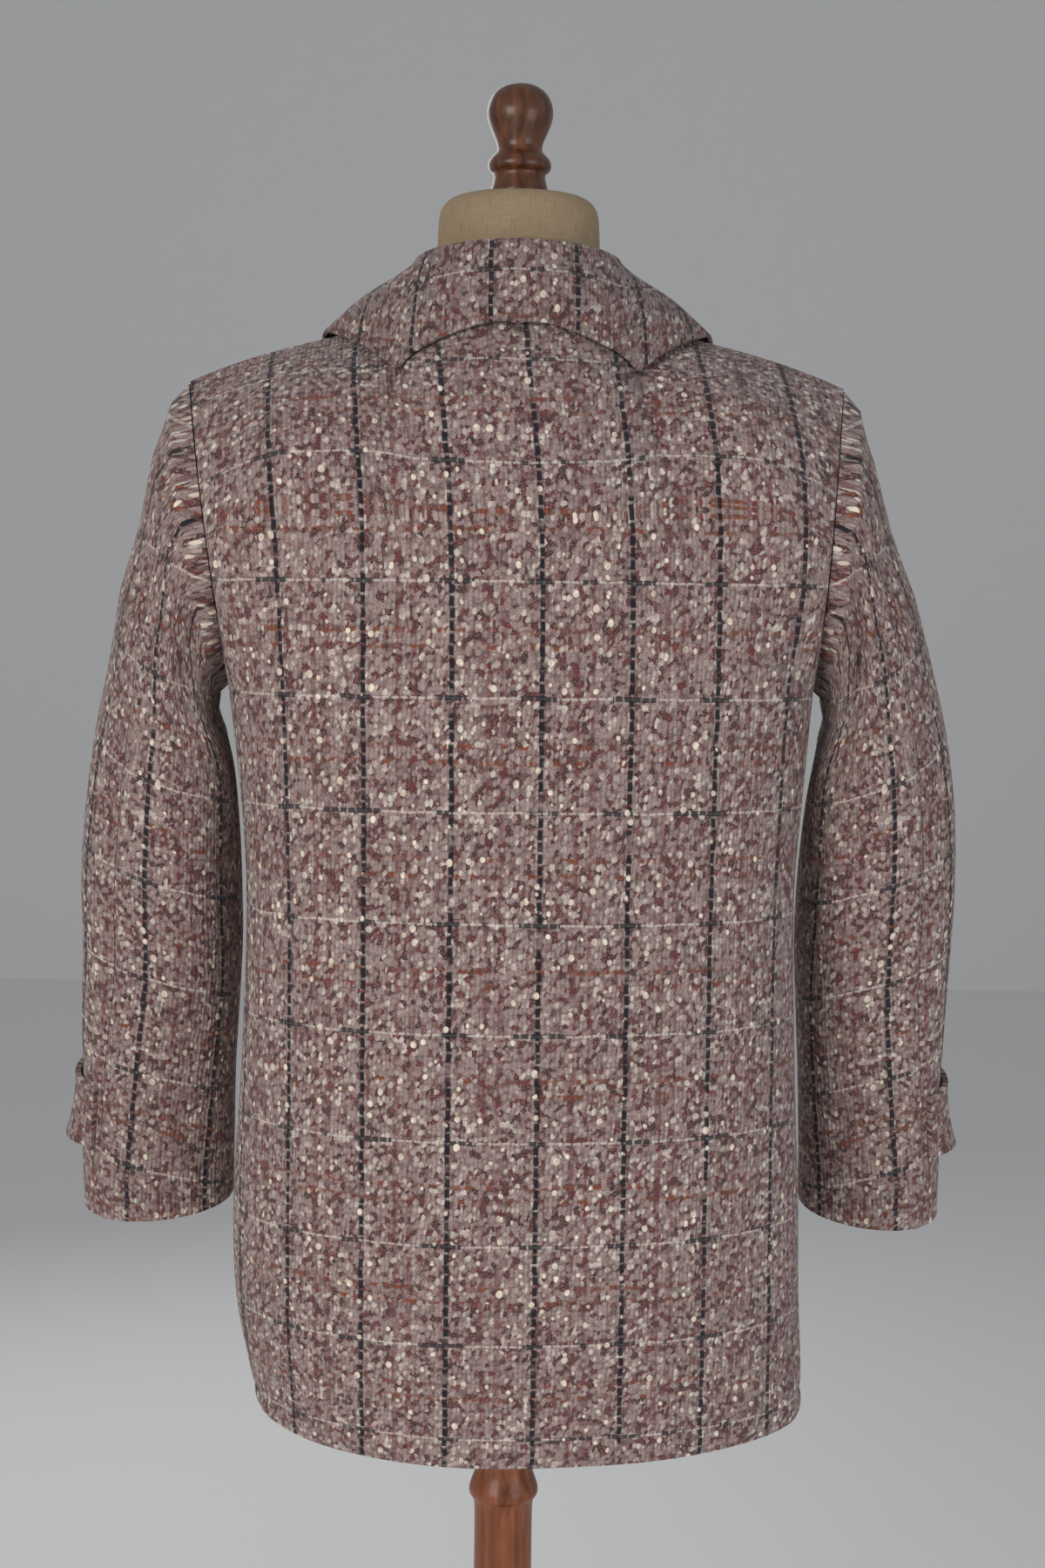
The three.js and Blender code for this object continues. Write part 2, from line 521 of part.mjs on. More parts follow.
const fan = (ring, centre) => ring.slice(0, -1).map((p, i) => [p, ring[i + 1], centre]);
const floorRing = torsoRows[0];
const torsoTriangles = [
  ...quads(torsoRows),
  ...quads(neckRows),
  ...fan(neckRows[neckRows.length - 1], vec(0, 0, neckTop)),
  ...fan(floorRing, vec(0, 0, TORSO_BOTTOM)).map(([a, b, c]) => [b, a, c]),
];
addSolid('form_torso', torsoTriangles, linen);

// ---------- turned wood ----------
function addTurned(name, profile, sides) {
  const points = profile.map(([radius, z]) => new THREE.Vector2(radius, z));
  const mesh = new THREE.Mesh(new THREE.LatheGeometry(points, sides), wood);
  mesh.rotation.x = Math.PI / 2;
  mesh.name = name;
  group.add(mesh);
}
const finialFoot = neckTop + GAP;
addTurned('finial', [
  [0, finialFoot], [22.6, finialFoot], [21.2, 1579], [19.2, 1585], [18.7, 1590], [20.9, 1591.3],
  [23, 1593], [23.6, 1596.5], [22.6, 1600], [19, 1603.5], [16.6, 1606], [16.3, 1609], [17.2, 1613],
  [19.6, 1618], [22.3, 1624], [24.2, 1630], [24.5, 1635], [23.4, 1641], [20.6, 1646.5], [16, 1651],
  [8.5, 1654.2], [0, 1655],
], 28);
addTurned('pole', [
  [0, BASE.height + GAP], [30, BASE.height + GAP], [30, 42], [26, 50], [23.4, 62], [22.6, 90], [22.4, 560],
  [21.6, 598], [25.2, 600], [26.6, 603], [26.4, 607], [24.6, 612], [22, 619], [21, 628],
  [21, TORSO_BOTTOM - GAP], [0, TORSO_BOTTOM - GAP],
], 28);
addTurned('base', [
  [0, 0], [BASE.radius - 4, 0], [BASE.radius, 5], [BASE.radius, 15], [BASE.radius - 6, 20],
  [BASE.radius - 16, 22], [120, 27], [70, 30], [50, BASE.height], [0, BASE.height],
], 48);

export default group;
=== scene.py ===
# %% [markdown]
# # A tweed car coat on a tailor's form
# The coat hangs on a linen-covered form with turned wooden parts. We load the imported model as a
# fixed frame, make each piece of cloth as a thin shell on the form of its solid, and give every
# surface a material of its own. Lengths are metres, +Z is up, and the coat's back faces +Y.

# %% Load the frame
import math
import bpy
from mathutils import Matrix, Vector


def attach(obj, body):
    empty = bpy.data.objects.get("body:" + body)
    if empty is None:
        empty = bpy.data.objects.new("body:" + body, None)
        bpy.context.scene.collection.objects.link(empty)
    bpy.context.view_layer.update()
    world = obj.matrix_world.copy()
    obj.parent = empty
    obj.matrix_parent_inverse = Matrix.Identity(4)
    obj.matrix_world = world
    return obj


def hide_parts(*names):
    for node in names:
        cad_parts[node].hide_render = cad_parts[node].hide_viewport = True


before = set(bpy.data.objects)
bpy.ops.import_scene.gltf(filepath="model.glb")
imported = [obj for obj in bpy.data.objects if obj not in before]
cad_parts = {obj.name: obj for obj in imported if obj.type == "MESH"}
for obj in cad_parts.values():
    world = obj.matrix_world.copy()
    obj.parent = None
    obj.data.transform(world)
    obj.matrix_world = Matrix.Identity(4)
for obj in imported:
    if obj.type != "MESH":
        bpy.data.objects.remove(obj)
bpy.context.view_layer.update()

bpy.ops.object.select_all(action="DESELECT")
scene = bpy.context.scene

# %% [markdown]
# ## Camera
# The view is from behind, a little above the middle of the coat, with a lens of 50 mm on a frame
# 36 mm high. A small tilt and roll give the framing, and depth of field stays off.

# %% Camera
CAMERA_DISTANCE = 1.62
CAMERA_HEIGHT = 1.26
CAMERA_TILT = math.radians(4.12)
CAMERA_ROLL = math.radians(0.7)
camera_data = bpy.data.cameras.new("camera")
camera_data.lens = 50
camera_data.sensor_width = 36
camera_data.shift_x = 12 / 1800
camera = bpy.data.objects.new("camera", camera_data)
scene.collection.objects.link(camera)
turn = (Matrix.Rotation(math.pi, 4, "Z") @ Matrix.Rotation(math.pi / 2 - CAMERA_TILT, 4, "X")
        @ Matrix.Rotation(CAMERA_ROLL, 4, "Z"))
camera.matrix_world = Matrix.Translation((0, CAMERA_DISTANCE, CAMERA_HEIGHT)) @ turn
scene.camera = camera
print("camera stands", CAMERA_DISTANCE, "m behind the form")

# %% [markdown]
# ## The cut of the coat
# The same named sizes as the solids' own, in millimetres, give the coat's outline. A row of
# SECTIONS is a level of the body, a row of RINGS a ring of the sleeve. Reading a table smoothly
# between its rows keeps the cloth free of kinks.

# %% Sizes and tables
MM = 0.001
CLOTH = 2.8
GAP = 0.3
HEM, HEM_DROP, UNDERARM = 671, 5, 1215
SHOULDER_TIP = Vector((242, -4, 1438))
NECK_SIDE = Vector((78, -6, 1487))
NECK_DEEP, NECK_BACK_DROP, NECK_FRONT_DROP = 80, 4, 57
SEAM_CROWN = 7
NECK_ANGLE = 36
OVERLAP = 6


def table(columns, *rows):
    return [dict(zip(columns.split(), row)) for row in rows]


SECTIONS = table(
    "z left right back front square",
    (666, 185, 224, 119, 127, 2.0), (705, 194, 224, 123, 128, 2.0),
    (760, 204, 221, 126, 129, 2.1), (835, 206, 219, 127, 129, 2.1),
    (940, 200, 214, 125, 127, 2.2), (1065, 197, 211, 120, 124, 2.3),
    (1145, 202, 216, 123, 126, 2.4), (1215, 210, 221, 127, 128, 2.5))
UPPER_BACK = table(
    "angle swell0 swell1 rise1 side1",
    (0, 0, 285, 330, 0), (20, 0, 350, 300, 0),
    (36, 10, 455, 235, 0), (60, 50, 535, 190, 0),
    (78, 220, 390, 190, 30), (90, 330, 306, 200, 56))
UPPER_FRONT = table(
    "angle swell0 swell1 rise1 side1",
    (90, 300, 280, 200, 56), (102, 200, 350, 190, 30),
    (120, 50, 470, 190, 0), (144, 0, 420, 220, 0),
    (160, 0, 265, 240, 0), (180, 0, 152, 250, 0))
RINGS = table(
    "top bottom outL outR inL inR mid deep lean",
    (1422, 1208, 257, 255, 216, 228, 0, 77, 0),
    (1388, 1198, 268, 264, 218, 230, -2, 74, 0),
    (1337, 1186, 280, 280, 217, 230, -3, 70, 1),
    (1286, 1172, 291, 296, 213, 228, -5, 66, 3),
    (1234, 1155, 300, 311, 209, 225, -9, 62, 5),
    (1182, 1132, 312, 325, 207, 222, -16, 58, 8),
    (1130, 1098, 322, 335, 206, 220, -27, 55, 11),
    (1074, 1058, 329, 340, 206, 219, -39, 52, 13),
    (1018, 1012, 331, 341, 207, 220, -52, 50, 15),
    (961, 961, 335, 341, 211, 224, -66, 48, 16),
    (903, 906, 336, 341, 216, 229, -80, 46, 17),
    (845, 851, 338, 343, 219, 233, -93, 45, 17),
    (800, 808, 338, 344, 221, 235, -103, 44, 17))
CUFF = len(RINGS)
ARMHOLE_SHARE = [1, 0.6, 0.2]
FALL = table(
    "angle x y lift",
    (0, 0, 93, 9), (30, 52, 86, 8), (60, 101, 56, 6), (90, 143, -8, 4.2),
    (120, 142, -56, 6), (150, 118, -92, 12), (176, 78, -112, 16))


def ease(a, ta, b, tb, f):
    """From a to b at share f, leaving with slope ta and arriving with slope tb."""
    g = 1 - f
    leaving = a * (g * g * (1 + 2 * f)) + ta * (g * g * f)
    return leaving + b * (f * f * (3 - 2 * f)) - tb * (f * f * g)


def read(rows, key, at, column):
    """The value of a column where the key is at, read smoothly between rows."""
    last = len(rows) - 1
    i = 0
    while i < last - 1 and rows[i + 1][key] < at:
        i += 1
    low, high = rows[i], rows[i + 1]
    before, after = rows[max(i - 1, 0)], rows[min(i + 2, last)]
    span = high[key] - low[key]
    f = min(max((at - low[key]) / span, 0), 1)
    slope_in = (high[column] - before[column]) / (high[key] - before[key]) * span
    slope_out = (after[column] - low[column]) / (after[key] - low[key]) * span
    return ease(low[column], slope_in, high[column], slope_out, f)


def smooth(value, low, high):
    """0 below low, 1 above high, and a soft step between."""
    f = min(max((value - low) / (high - low), 0), 1)
    return f * f * (3 - 2 * f)


def power(value, exponent):
    """A power that keeps the sign, for rounded squares."""
    return math.copysign(abs(value) ** exponent, value)


def bump(value, centre, width):
    """A soft ridge of height 1 at the centre."""
    return math.exp(-((value - centre) / width) ** 2)


print("tables:", len(SECTIONS), "levels,", len(RINGS), "sleeve rings")

# %% [markdown]
# ## Surfaces of the body
# A column of the coat runs from the hem up over the shoulder blade to the shoulder seam or the
# neckline. Below the armholes the coat is a set of rounded sections. Above them each column is
# one cubic curve that swells out and comes in again at the shoulder.

# %% Body surface
def neckline(angle):
    c = math.cos(math.radians(angle))
    drop = NECK_BACK_DROP if c > 0 else NECK_FRONT_DROP
    return Vector((NECK_SIDE.x * math.sin(math.radians(angle)), NECK_SIDE.y + NECK_DEEP * c,
                   NECK_SIDE.z - drop * c * c))


def shoulder_seam(share, side):
    point = NECK_SIDE.lerp(SHOULDER_TIP, share)
    point.z += SEAM_CROWN * share * math.sin(math.pi * share)
    point.x *= side
    return point


def body_point(angle, z):
    s, c = math.sin(math.radians(angle)), math.cos(math.radians(angle))
    exponent = 2 / read(SECTIONS, "z", z, "square")
    half = read(SECTIONS, "z", z, "left" if s >= 0 else "right")
    deep = read(SECTIONS, "z", z, "back" if c >= 0 else "front")
    hem = HEM_DROP * c * c * (1 - smooth(z, HEM, HEM + 200))
    return Vector((half * power(s, exponent), deep * power(c, exponent), z - hem))


def top_point(angle):
    around, side = abs(angle), math.copysign(1, angle)
    if around <= NECK_ANGLE:
        return neckline(angle / NECK_ANGLE * 90)
    if around >= 180 - NECK_ANGLE:
        return neckline(side * (180 - (180 - around) / NECK_ANGLE * 90))
    from_neck = around - NECK_ANGLE if around <= 90 else 180 - NECK_ANGLE - around
    return shoulder_seam(from_neck / (90 - NECK_ANGLE), side)


def upper_point(angle, w, in_front):
    rows = UPPER_FRONT if in_front else UPPER_BACK
    around = min(abs(angle), 360 - abs(angle))
    way = -1 if in_front else 1
    swell0 = read(rows, "angle", around, "swell0")
    start = Vector((0, way * swell0, 250 - 0.2 * swell0))
    end = Vector((math.copysign(read(rows, "angle", around, "side1"), angle),
                  -way * read(rows, "angle", around, "swell1"),
                  read(rows, "angle", around, "rise1")))
    return ease(body_point(angle, UNDERARM), start, top_point(angle), end, w)


def coat_point(angle, v, in_front):
    if v <= 1:
        return body_point(angle, HEM + (UNDERARM - HEM) * v)
    return upper_point(angle, v - 1, in_front)


def armhole(around, side):
    t = around % 360
    if t <= 180:
        return upper_point(side * 90, 1 - t / 180, False)
    return upper_point(side * 90, (t - 180) / 180, True)


# %% [markdown]
# ## Surfaces of the sleeve
# A ring of the sleeve is a rounded oblong that leans a little and swings forward lower down.
# The first rings blend into the armhole's own outline.

# %% Sleeve surface
SLEEVE_SQUARE = 2 / 2.2       # how square a ring is, where 1 is an ellipse
ARMHOLE_EASE = 1.2 * GAP
ARMHOLE_MIDDLE = (224, 1322)


def ring_point(row, around, side):
    last = len(RINGS) - 1
    at = min(max(row, 0), last)
    i = min(int(at), last - 1)

    def pick(column):
        a, b = RINGS[i][column], RINGS[i + 1][column]
        before, after = RINGS[max(i - 1, 0)][column], RINGS[min(i + 2, last)][column]
        return ease(a, (b - before) / 2, b, (after - a) / 2, at - i)

    hand = "L" if side > 0 else "R"
    outer = Vector((pick("out" + hand), 0, pick("top")))
    inner = Vector((pick("in" + hand), 0, pick("bottom")))
    lean = math.radians(pick("lean"))
    across = (outer - inner) / 2
    deep = Vector((0, math.cos(lean), -math.sin(lean))) * pick("deep")
    angle = math.radians(around)
    point = (inner + across * (1 + power(math.cos(angle), SLEEVE_SQUARE))
             + deep * power(math.sin(angle), SLEEVE_SQUARE))
    point.y += pick("mid")
    point.x *= side
    return point


def blended_ring(around, row, side):
    ring = ring_point(row - 1, around, side)
    count = len(ARMHOLE_SHARE)
    if row >= count + 1:
        return ring
    i = min(int(row), count - 1)
    j = min(i + 1, count - 1)
    share = ARMHOLE_SHARE[i] + (ARMHOLE_SHARE[j] - ARMHOLE_SHARE[i]) * min(row - i, 1)
    share *= 1 if row < count else max(0, count + 1 - row)
    centre = (ring_point(row - 1, 0, side) + ring_point(row - 1, 180, side)) / 2
    hole = (armhole(0, side) + armhole(180, side)) / 2
    scale = (ring_point(row - 1, 0, side) - centre).length / (armhole(0, side) - hole).length
    return ring.lerp((armhole(around, side) - hole) * scale + centre, share)


def sleeve_point(around, row, side):
    seam = armhole(around, side)
    middle_x, middle_z = ARMHOLE_MIDDLE
    inward = (Vector((side * middle_x, 0, middle_z)) - seam).normalized()
    seam += Vector((side * ARMHOLE_EASE, 0, 0)) + inward * GAP
    if row <= 1:
        return seam.lerp(blended_ring(around, 1, side), max(row, 0))
    return blended_ring(around, row, side)


print("cuff is", round((sleeve_point(0, CUFF, 1) - sleeve_point(180, CUFF, 1)).length), "mm wide")

# %% [markdown]
# ## A helper for cloth
# Every panel starts as a grid. Its corners are moved onto the surface, its UV map is laid out in
# metres of cloth along the two ways of the weave, and Solidify gives it the tweed's thickness
# behind the face that shows. The pattern then follows the cloth round the body.

# %% Panel helper
made = {}                     # each panel's piece, flat size and area, by name


def running(points):
    """The length along a line of points, at each of them."""
    total, out = 0.0, [0.0]
    for a, b in zip(points, points[1:]):
        total += (b - a).length
        out.append(total)
    return out


SMOOTH_ANGLE = math.radians(50)


def panel(name, point, us, vs, cloth, zero=(0, 0), flip=False, thick=CLOTH):
    """A sheet of point(u, v). zero is the (u, v) step where the cloth's own measures start."""
    bpy.ops.mesh.primitive_grid_add(x_subdivisions=len(us) - 1, y_subdivisions=len(vs) - 1, size=1)
    piece = bpy.context.object
    piece.name = piece.data.name = name
    grid = [[point(u, v) for u in us] for v in vs]
    across = [running(row) for row in grid]
    along = [running([row[i] for row in grid]) for i in range(len(us))]
    mesh = piece.data
    width = len(us)
    assert len(mesh.vertices) == width * len(vs)
    for vertex in mesh.vertices:
        j, i = divmod(vertex.index, width)
        vertex.co = grid[j][i] * MM
    layer = mesh.uv_layers[0]
    layer.name = "cloth"
    for corner in mesh.loops:
        j, i = divmod(corner.vertex_index, width)
        u = across[j][i] - across[j][zero[0]]
        v = along[i][j] - along[i][zero[1]]
        layer.data[corner.index].uv = cloth(u * MM, v * MM, grid[j][i])
    if flip:
        mesh.flip_normals()
    solid = piece.modifiers.new("thickness", "SOLIDIFY")
    solid.thickness = thick * MM
    solid.offset = -1
    solid.use_quality_normals = True
    bpy.ops.object.modifier_apply(modifier="thickness")
    bpy.ops.object.shade_smooth_by_angle(angle=SMOOTH_ANGLE)
    flat = (max(row[-1] for row in across) * MM, max(column[-1] for column in along) * MM)
    area = sum((grid[j][i + 1] - grid[j][i]).cross(grid[j + 1][i] - grid[j][i]).length
               for j in range(len(vs) - 1) for i in range(width - 1)) * MM * MM
    made[name] = (piece, flat, area)
    print(name, "cut from", [round(x, 3) for x in flat], "m, area", round(area, 3), "m2")
    return piece


def spread(start, end, count):
    """Evenly spaced values from start to end, count steps in all."""
    return [start + (end - start) * i / count for i in range(count + 1)]


# %% [markdown]
# ## Back
# The back is one piece. It drapes in soft, uneven troughs between the shoulder blades and the
# hem, is drawn in along the armholes, and has a hem whose stitching shows as a shallow groove.

# %% Back
def outward(point, angle, amount):
    s, c = math.sin(math.radians(angle)), math.cos(math.radians(angle))
    return point + Vector((s, c, 0)) * amount


def hem_relief(v, angle):
    above = v * (UNDERARM - HEM)
    groove = -(1.0 + 0.5 * math.sin(math.radians(angle * 2 - 40))) * bump(above, 19, 3.2)
    return groove + 0.7 * bump(above, 9, 6) - 1.2 * bump(above, 0, 2.5)


def drape(angle, v):
    low = smooth(1.1 - v, 0, 0.9)
    folds = (2.2 * math.sin(math.radians(angle * 3.1 + 30))
             + 1.3 * math.sin(math.radians(angle * 5.7 - 50 + 40 * v))
             + 0.7 * math.sin(math.radians(angle * 9.3 + 110 * v)))
    blade = 1.6 * bump(abs(angle), 44, 12) * bump(v, 1.25, 0.25)
    return folds * low * 0.55 + blade


def back_point(angle, v):
    point = coat_point(angle, v, False)
    edge = 90 - abs(angle)
    seam = -0.5 * bump(edge, 0, 1.6) * smooth(v, 0.95, 1.1) - 0.8 * bump(v, 2, 0.02)
    fold = drape(angle, v) * smooth(edge, 0, 14)
    return outward(point, angle, fold + hem_relief(v, angle) + seam)


ROW_LEVEL = 1291          # a dark cross line of the check lies at this height of the back
COLUMN_PLACE = 20         # and the middle dark line this far to the wearer's right

body_vs = sorted(set(spread(0, 0.06, 10) + spread(0.06, 1, 76) + spread(1, 2 - 4e-4, 60)))
back_us = spread(-89.955, 89.955, 130)
middle = [coat_point(0, v, False) for v in body_vs]
level = min(range(len(body_vs)), key=lambda i: abs(middle[i].z - 1330))
LEVEL_HEIGHT = middle[level].z


def back_cloth(u, v, point):
    down = (ROW_LEVEL - point.z if v <= 0 else ROW_LEVEL - LEVEL_HEIGHT) * MM - max(v, 0)
    down += 0.037 * max(down / 0.603, 0) ** 3
    straight = smooth(point.z, 1180, 1380)
    across = u + (point.x * MM - u) * straight
    return (-across - COLUMN_PLACE * MM + 0.015 * bump(point.z, 1500, 120), down)


back = panel("tweed_back", back_point, back_us, body_vs, back_cloth, zero=(65, level), flip=True)

# %% [markdown]
# ## Fronts
# The two fronts lap at the centre, the left one outside. The right one sinks by a layer of cloth
# before it passes under. They are plain, with a hem like the back's.

# %% Fronts
def front_left(angle, v):
    point = coat_point(angle, v, True)
    edge = abs(angle) - 90
    return outward(point, angle, drape(angle, v) * 0.5 * smooth(edge, 0, 14) + hem_relief(v, angle)
                   - 0.5 * bump(edge, 0, 1.6) * smooth(v, 0.95, 1.1))


def front_right(angle, v):
    sink = (CLOTH + GAP + 0.2) * smooth(-angle, 180 - 4 * OVERLAP, 180 - 1.6 * OVERLAP)
    point = front_left(angle, v)
    point.y += sink
    point.z -= sink * smooth(v, 1.4, 2)
    return point


def front_cloth(u, v, point):
    straight = smooth(point.z, 1180, 1380)
    return (u + (abs(point.x) * MM - 0.2 - u) * straight, (ROW_LEVEL - UNDERARM) * MM - v)


underarm_row = min(range(len(body_vs)), key=lambda i: abs(body_vs[i] - 1))
front_us = spread(90.045, 180 + OVERLAP, 68)
left = panel("tweed_front_left", front_left, front_us, body_vs, front_cloth,
             zero=(0, underarm_row), flip=True)
right = panel("tweed_front_right", front_right, [-a for a in front_us], body_vs, front_cloth,
              zero=(0, underarm_row))

# %% [markdown]
# ## Collar
# Stand and fall are one band that goes up beside the neck, over a soft fold, and down over the
# back and the chest. Its free edge stays clear of the coat, so it throws a soft shadow.

# %% Collar
FOLD_BACK, FOLD_SIDE, FOLD_FRONT = 76, 75, 84
FOLD_BACK_Z, FOLD_SIDE_Z, FOLD_FRONT_Z = 1531, 1527, 1462
GRID_STEPS = 30
upper_grid = []
for side in (-1, 1):
    for in_front in (False, True):
        ends = (90, 180) if in_front else (0, 90)
        rows = [[coat_point(side * a, v, in_front) for a in spread(*ends, GRID_STEPS)]
                for v in spread(1.2, 2, 16)]
        for upper, lower in zip(rows, rows[1:]):
            for i in range(GRID_STEPS):
                upper_grid.append((upper[i], upper[i + 1], lower[i + 1]))
                upper_grid.append((upper[i], lower[i + 1], lower[i]))


def coat_height(x, y):
    """The height of the coat's upper surface at (x, y)."""
    height = -1e9
    for a, b, c in upper_grid:
        area = (b.x - a.x) * (c.y - a.y) - (c.x - a.x) * (b.y - a.y)
        if abs(area) < 1e-9:
            continue
        s = ((b.x - x) * (c.y - y) - (c.x - x) * (b.y - y)) / area
        t = ((c.x - x) * (a.y - y) - (a.x - x) * (c.y - y)) / area
        if s >= 0 and t >= 0 and s + t <= 1:
            height = max(height, s * a.z + t * b.z + (1 - s - t) * c.z)
    return height


def collar_knots(angle):
    around, side = abs(angle), math.copysign(1, angle)
    s, c = math.sin(math.radians(angle)), math.cos(math.radians(around))
    out = Vector((s, c, 0))
    depth, top = (FOLD_BACK, FOLD_BACK_Z) if c > 0 else (FOLD_FRONT, FOLD_FRONT_Z)
    fold = Vector((FOLD_SIDE * s, depth * c - 2 * (1 - c * c),
                   FOLD_SIDE_Z + (top - FOLD_SIDE_Z) * c * c))
    x, y = side * read(FALL, "angle", around, "x"), read(FALL, "angle", around, "y")
    lift = read(FALL, "angle", around, "lift")
    edge = Vector((x, y, coat_height(x, y) + lift + CLOTH))
    foot = neckline(side * around) - out * CLOTH + Vector((0, 0, GAP + 0.6))
    inner, outer = fold - out * 4.5 + Vector((0, 0, -6)), fold + out * 5 + Vector((0, 0, -6))
    bow = outer.lerp(edge, 0.5) + Vector((0, 0, 3)) + out * 2
    bow.z = max(bow.z, coat_height(bow.x, bow.y) + lift + CLOTH + 2)
    return [foot, foot.lerp(inner, 0.55), inner, fold, outer, bow, edge]


knots = {}


def collar_point(angle, s):
    key = round(angle, 4)
    if key not in knots:
        knots[key] = collar_knots(angle)
    points = knots[key]
    at = min(s * 6, 5.99999)
    i = int(at)
    before, after = points[max(i - 1, 0)], points[min(i + 2, 6)]
    slope_in, slope_out = (points[i + 1] - before) / 2, (after - points[i]) / 2
    return ease(points[i], slope_in, points[i + 1], slope_out, at - i)


collar_us = spread(-176, 176, 150)
collar_vs = spread(0, 1, 40)
collar = panel("tweed_collar", collar_point, collar_us, collar_vs,
               lambda u, v, p: (-u + 0.019, v - 0.075), zero=(75, 0))

# %% [markdown]
# ## Sleeves
# Each sleeve is cut in two. The back seam shows as a line with a soft ridge beside it, and drag
# lines run from the armhole. Lower down the cloth sinks here and there, as an empty sleeve does.

# %% Sleeves
FRONT_SEAM = 245
SEAM_TRIM = 0.25


def back_seam(row):
    return 64 - 19 * smooth(row, 9, CUFF)


def sleeve_relief(around, row, side):
    seam = back_seam(row)
    ridge = 1.8 * bump(around, seam + 7, 5) - 1.6 * bump(around, seam, 2.2)
    ridge *= smooth(row, 1, 3) * (1 - 0.6 * smooth(row, 9, 12))
    soft = (1.6 * math.sin(math.radians(around * 2.3 + row * 31))
            + 1.1 * math.sin(math.radians(around * 4.1 - row * 47)))
    soft *= smooth(row, 1, 4) * (1 - 0.5 * smooth(row, 10, CUFF))
    if side > 0:
        drag = -9 * bump(around, 128 - 3 * row, 17) * bump(row, 2.6, 2.0)
        drag += 3 * bump(around, 96, 12) * bump(row, 3.4, 2.2)
    else:
        drag = -10 * bump(around, 96 + 12 * (row - 2), 11) * bump(row, 3.2, 1.7)
        drag += 4 * bump(around, 72 + 12 * (row - 2), 12) * bump(row, 3, 1.8)
    puff = 1.5 * bump(row, 0.9, 0.5) * bump(around, 0, 60)
    return ridge + soft + drag * smooth(row, 0.1, 1) + puff


def shaped_sleeve(around, row, side):
    point = sleeve_point(around, row, side)
    if row <= 0:
        return point
    centre = (sleeve_point(around + 180, row, side) + point) / 2
    return point + (point - centre).normalized() * sleeve_relief(around, row, side)


sleeve_vs = sorted(set(spread(0, 1, 8) + spread(1, CUFF, 84)))
sleeve_pieces = []


def sleeve_cloth(start, side):
    """The sleeve's grain follows its run from the elbow to the cuff more than its columns."""
    run = shaped_sleeve(0, CUFF, side) + shaped_sleeve(180, CUFF, side)
    run = (run - shaped_sleeve(0, 3, side) - shaped_sleeve(180, 3, side)).normalized()
    return lambda u, v, p: (u + start, p.dot(run) * MM * 0.8 + v * 0.2 + 0.05)


for hand, side in (("left", 1), ("right", -1)):
    def upper(share, row, side=side):
        start, end = FRONT_SEAM - 360 + SEAM_TRIM, back_seam(row) - SEAM_TRIM
        return shaped_sleeve(start + (end - start) * share, row, side)

    def under(share, row, side=side):
        start, end = back_seam(row) + SEAM_TRIM, FRONT_SEAM - SEAM_TRIM
        return shaped_sleeve(start + (end - start) * share, row, side)

    upper_piece = panel("tweed_sleeve_upper_" + hand, upper, spread(0, 1, 44), sleeve_vs,
                        sleeve_cloth(0.031, side), zero=(44, 8), flip=side > 0)
    under_piece = panel("tweed_sleeve_under_" + hand, under, spread(0, 1, 44), sleeve_vs,
                        sleeve_cloth(-0.026, side), zero=(0, 8), flip=side > 0)
    sleeve_pieces += [upper_piece, under_piece]

# %% [markdown]
# ## Cuff tabs
# A strap is let into each back seam near the cuff. Its lower edge stands away from the sleeve.

# %% Cuff tabs
TAB_TOP, TAB_BOTTOM, TAB_FRONT, TAB_THICK, TAB_FLARE = 10.86, 11.72, -42, 4.4, 8
tabs = []
for hand, side in (("left", 1), ("right", -1)):
    def strap(share, fall, side=side):
        row = TAB_TOP + (TAB_BOTTOM - TAB_TOP) * fall
        start = back_seam(row) - 3
        around = start + (TAB_FRONT - start) * share
        surface = sleeve_point(around, row, side)
        out = surface - (sleeve_point(around + 180, row, side) + surface) / 2
        out.z = 0
        flare = max(0, TAB_FLARE * fall * fall * math.sin(math.pi * min(1, share * 1.15)))
        wave = max(0, sleeve_relief(around, row, side))
        return surface + out.normalized() * (GAP + 0.5 + TAB_THICK + flare + wave)

    tab = panel("tweed_cuff_tab_" + hand, strap, spread(0, 1, 24), spread(0, 1, 14),
                lambda u, v, p: (u + 0.01, v + 0.02), flip=side < 0, thick=TAB_THICK)
    tabs.append(tab)

# %% [markdown]
# ## Form, wood and buttons
# These solids already have the right shape, but their facets are coarse. A merged copy with two
# rounds of subdivision is smooth, and it stands for the solid.

# %% Smooth copies
def smooth_copy(node, name, levels=2):
    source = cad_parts[node]
    bpy.ops.object.select_all(action="DESELECT")
    piece = source.copy()
    piece.data = source.data.copy()
    scene.collection.objects.link(piece)
    piece.name = piece.data.name = name
    piece.parent = None
    bpy.context.view_layer.objects.active = piece
    piece.select_set(True)
    piece.hide_render = False
    bpy.ops.object.mode_set(mode="EDIT")
    bpy.ops.mesh.select_all(action="SELECT")
    bpy.ops.mesh.remove_doubles(threshold=1e-6)
    bpy.ops.mesh.tris_convert_to_quads()
    bpy.ops.object.mode_set(mode="OBJECT")
    piece.data.materials.clear()
    rounder = piece.modifiers.new("round", "SUBSURF")
    rounder.levels = rounder.render_levels = levels
    bpy.ops.object.modifier_apply(modifier="round")
    bpy.ops.object.shade_smooth_by_angle(angle=math.radians(60))
    print(name, len(piece.data.polygons), "faces")
    return piece


# %% [markdown]
# The form, the finial, the pole and its base and the four buttons all take the same two rounds.

# %% Make the copies
torso = smooth_copy("form_torso", "linen_form", 2)
finial = smooth_copy("finial", "wood_finial", 2)
pole = smooth_copy("pole", "wood_pole", 2)
base = smooth_copy("base", "wood_base", 2)
buttons = [smooth_copy("front_button_%d" % i, "horn_button_%d" % i, 2) for i in range(1, 5)]

